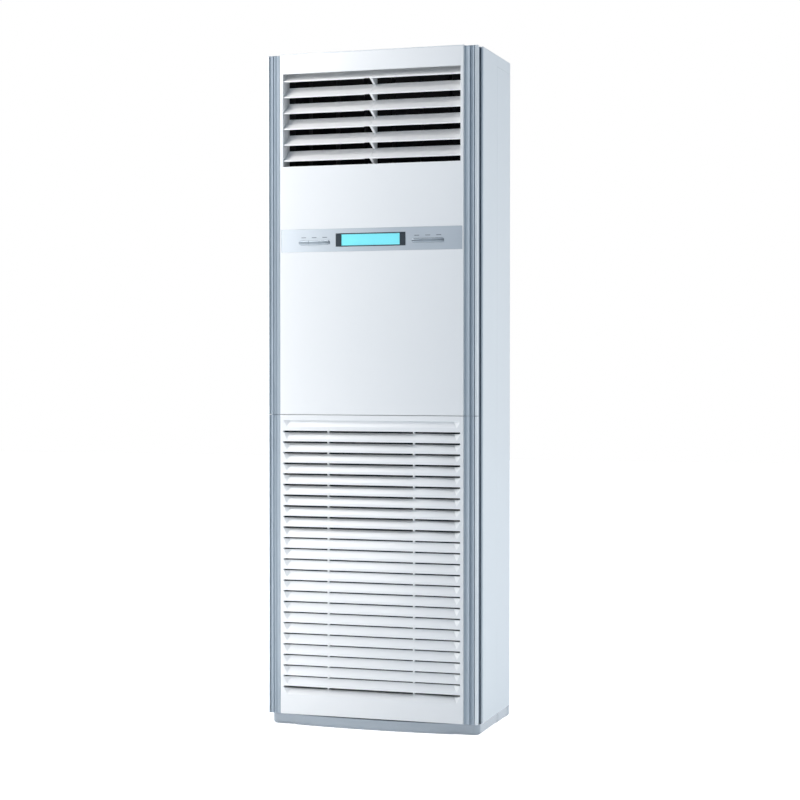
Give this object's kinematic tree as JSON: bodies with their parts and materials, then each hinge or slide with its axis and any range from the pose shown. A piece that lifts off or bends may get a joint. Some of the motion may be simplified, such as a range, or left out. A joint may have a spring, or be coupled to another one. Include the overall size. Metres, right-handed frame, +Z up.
{
  "type": "floor standing air conditioner",
  "caption": "Slim upright cabinet air conditioner with a louvred outlet over a control band and display, and a louvred intake panel that tilts forward from its foot.",
  "frame": {"origin": "on the floor under the middle of the cabinet", "axes": "+Z up, -Y towards someone who faces the front, +X to that person's right"},
  "size_m": [0.6, 0.3446, 1.827],
  "materials": {
    "white": "glossy white moulding",
    "steel": "smooth white powder coat on folded steel",
    "trim": "satin anodised fluted extrusion, blue-grey",
    "plinth": "satin grey paint",
    "post": "dark blue-grey paint in the shadow groove",
    "band": "fine horizontal brushing, silver",
    "dark": "dark glossy",
    "lens": "pale cyan lit window, smooth",
    "button": "satin silver caps",
    "board": "green circuit board",
    "black": "matt black moulding",
    "foam": "dark foam",
    "zinc": "galvanised sheet",
    "fins": "fine upright fins",
    "copper": "drawn copper tube",
    "rubber": "matt black rubber",
    "hose": "pale flexible hose",
    "mesh": "grey filter frame and net"
  },
  "bodies": {
    "cabinet": {"base_plinth": "plinth", "base_pan": "zinc", "right_post": "post", "left_post": "post", "right_side_panel": "steel", "left_side_panel": "steel", "rear_casing": "steel", "top_cap": "steel", "upper_front_panel": "white", "upper_right_trim": "trim", "upper_left_trim": "trim", "control_band": "band", "display_bezel": "dark", "display_lens": "lens", "display_board": "board", "outlet_frame": "white", "vane_frame": "black", "vane_motor": "zinc", "outlet_duct": "foam", "evaporator_coil": "fins", "drain_tray": "black", "coil_cover": "zinc", "middle_deck": "zinc", "gas_pipe": "copper", "liquid_pipe": "copper", "drain_hose": "hose", "fan_scroll": "zinc", "inlet_ring": "zinc", "fan_motor": "dark", "electric_box": "zinc", "electric_cover": "zinc", "pipe_grommet": "rubber", "cable_gland": "rubber"},
    "lower_front": {"lower_front_panel": "white", "lower_panel_frame": "white", "lower_right_trim": "trim", "lower_left_trim": "trim"},
    "filter": {"air_filter": "mesh"},
    "blade_1": {"blade_1": "white"},
    "blade_2": {"blade_2": "white"},
    "blade_3": {"blade_3": "white"},
    "blade_4": {"blade_4": "white"},
    "blade_5": {"blade_5": "white"},
    "blade_6": {"blade_6": "white"},
    "blade_link": {"blade_link": "black"},
    "vane_1": {"vane_1": "black"},
    "vane_2": {"vane_2": "black"},
    "vane_3": {"vane_3": "black"},
    "vane_4": {"vane_4": "black"},
    "vane_5": {"vane_5": "black"},
    "vane_6": {"vane_6": "black"},
    "vane_link": {"vane_link": "black"},
    "fan_wheel": {"impeller": "zinc", "fan_hub": "zinc"},
    "right_button_1": {"right_button_1": "button"},
    "right_button_2": {"right_button_2": "button"},
    "right_button_3": {"right_button_3": "button"},
    "left_button_1": {"left_button_1": "button"},
    "left_button_2": {"left_button_2": "button"},
    "left_button_3": {"left_button_3": "button"}
  },
  "joints": [
    {"name": "panel_tilt", "type": "hinge", "parent": "cabinet", "child": "lower_front", "pos_m": [0, -0.14575, 0.038], "axis": [1, 0, 0], "range_deg": [0, 15]},
    {"name": "filter_lift", "type": "slide", "parent": "lower_front", "child": "filter", "axis": [0, 0, 1], "range_m": [0, 0.012]},
    {"name": "blade_1_tilt", "type": "hinge", "parent": "cabinet", "child": "blade_1", "pos_m": [0, -0.16315, 1.7541], "axis": [1, 0, 0], "range_deg": [-35, 12]},
    {"name": "blade_2_tilt", "type": "hinge", "parent": "cabinet", "child": "blade_2", "pos_m": [0, -0.16315, 1.7111], "axis": [1, 0, 0], "range_deg": [-35, 12]},
    {"name": "blade_3_tilt", "type": "hinge", "parent": "cabinet", "child": "blade_3", "pos_m": [0, -0.16315, 1.6681], "axis": [1, 0, 0], "range_deg": [-35, 12]},
    {"name": "blade_4_tilt", "type": "hinge", "parent": "cabinet", "child": "blade_4", "pos_m": [0, -0.16315, 1.6251], "axis": [1, 0, 0], "range_deg": [-35, 12]},
    {"name": "blade_5_tilt", "type": "hinge", "parent": "cabinet", "child": "blade_5", "pos_m": [0, -0.16315, 1.5821], "axis": [1, 0, 0], "range_deg": [-35, 12]},
    {"name": "blade_6_tilt", "type": "hinge", "parent": "cabinet", "child": "blade_6", "pos_m": [0, -0.16315, 1.5391], "axis": [1, 0, 0], "range_deg": [-35, 12]},
    {"name": "blade_link_turn", "type": "hinge", "parent": "blade_1", "child": "blade_link", "pos_m": [0.244, -0.12041, 1.78871], "axis": [1, 0, 0], "range_deg": [-12, 35]},
    {"name": "vane_1_swing", "type": "hinge", "parent": "cabinet", "child": "vane_1", "pos_m": [-0.2, -0.08975, 1.66], "axis": [0, 0, 1], "range_deg": [-40, 40]},
    {"name": "vane_2_swing", "type": "hinge", "parent": "cabinet", "child": "vane_2", "pos_m": [-0.12, -0.08975, 1.66], "axis": [0, 0, 1], "range_deg": [-40, 40]},
    {"name": "vane_3_swing", "type": "hinge", "parent": "cabinet", "child": "vane_3", "pos_m": [-0.04, -0.08975, 1.66], "axis": [0, 0, 1], "range_deg": [-40, 40]},
    {"name": "vane_4_swing", "type": "hinge", "parent": "cabinet", "child": "vane_4", "pos_m": [0.04, -0.08975, 1.66], "axis": [0, 0, 1], "range_deg": [-40, 40]},
    {"name": "vane_5_swing", "type": "hinge", "parent": "cabinet", "child": "vane_5", "pos_m": [0.12, -0.08975, 1.66], "axis": [0, 0, 1], "range_deg": [-40, 40]},
    {"name": "vane_6_swing", "type": "hinge", "parent": "cabinet", "child": "vane_6", "pos_m": [0.2, -0.08975, 1.66], "axis": [0, 0, 1], "range_deg": [-40, 40]},
    {"name": "vane_link_turn", "type": "hinge", "parent": "vane_1", "child": "vane_link", "pos_m": [-0.2, -0.10175, 1.5256], "axis": [0, 0, 1], "range_deg": [-40, 40]},
    {"name": "fan_spin", "type": "hinge", "parent": "cabinet", "child": "fan_wheel", "pos_m": [0.01, -0.02475, 0.4], "axis": [0, 1, 0], "continuous": true},
    {"name": "right_button_1_press", "type": "slide", "parent": "cabinet", "child": "right_button_1", "axis": [0, 1, 0], "range_m": [0, 0.0008], "stiffness_N_per_m": 600},
    {"name": "right_button_2_press", "type": "slide", "parent": "cabinet", "child": "right_button_2", "axis": [0, 1, 0], "range_m": [0, 0.0008], "stiffness_N_per_m": 600},
    {"name": "right_button_3_press", "type": "slide", "parent": "cabinet", "child": "right_button_3", "axis": [0, 1, 0], "range_m": [0, 0.0008], "stiffness_N_per_m": 600},
    {"name": "left_button_1_press", "type": "slide", "parent": "cabinet", "child": "left_button_1", "axis": [0, 1, 0], "range_m": [0, 0.0008], "stiffness_N_per_m": 600},
    {"name": "left_button_2_press", "type": "slide", "parent": "cabinet", "child": "left_button_2", "axis": [0, 1, 0], "range_m": [0, 0.0008], "stiffness_N_per_m": 600},
    {"name": "left_button_3_press", "type": "slide", "parent": "cabinet", "child": "left_button_3", "axis": [0, 1, 0], "range_m": [0, 0.0008], "stiffness_N_per_m": 600}
  ],
  "couplings": [
    {"joint": "blade_2_tilt", "follows": "blade_1_tilt", "ratio": 1},
    {"joint": "blade_3_tilt", "follows": "blade_1_tilt", "ratio": 1},
    {"joint": "blade_4_tilt", "follows": "blade_1_tilt", "ratio": 1},
    {"joint": "blade_5_tilt", "follows": "blade_1_tilt", "ratio": 1},
    {"joint": "blade_6_tilt", "follows": "blade_1_tilt", "ratio": 1},
    {"joint": "blade_link_turn", "follows": "blade_1_tilt", "ratio": -1},
    {"joint": "vane_2_swing", "follows": "vane_1_swing", "ratio": 1},
    {"joint": "vane_3_swing", "follows": "vane_1_swing", "ratio": 1},
    {"joint": "vane_4_swing", "follows": "vane_1_swing", "ratio": 1},
    {"joint": "vane_5_swing", "follows": "vane_1_swing", "ratio": 1},
    {"joint": "vane_6_swing", "follows": "vane_1_swing", "ratio": 1},
    {"joint": "vane_link_turn", "follows": "vane_1_swing", "ratio": -1}
  ]
}
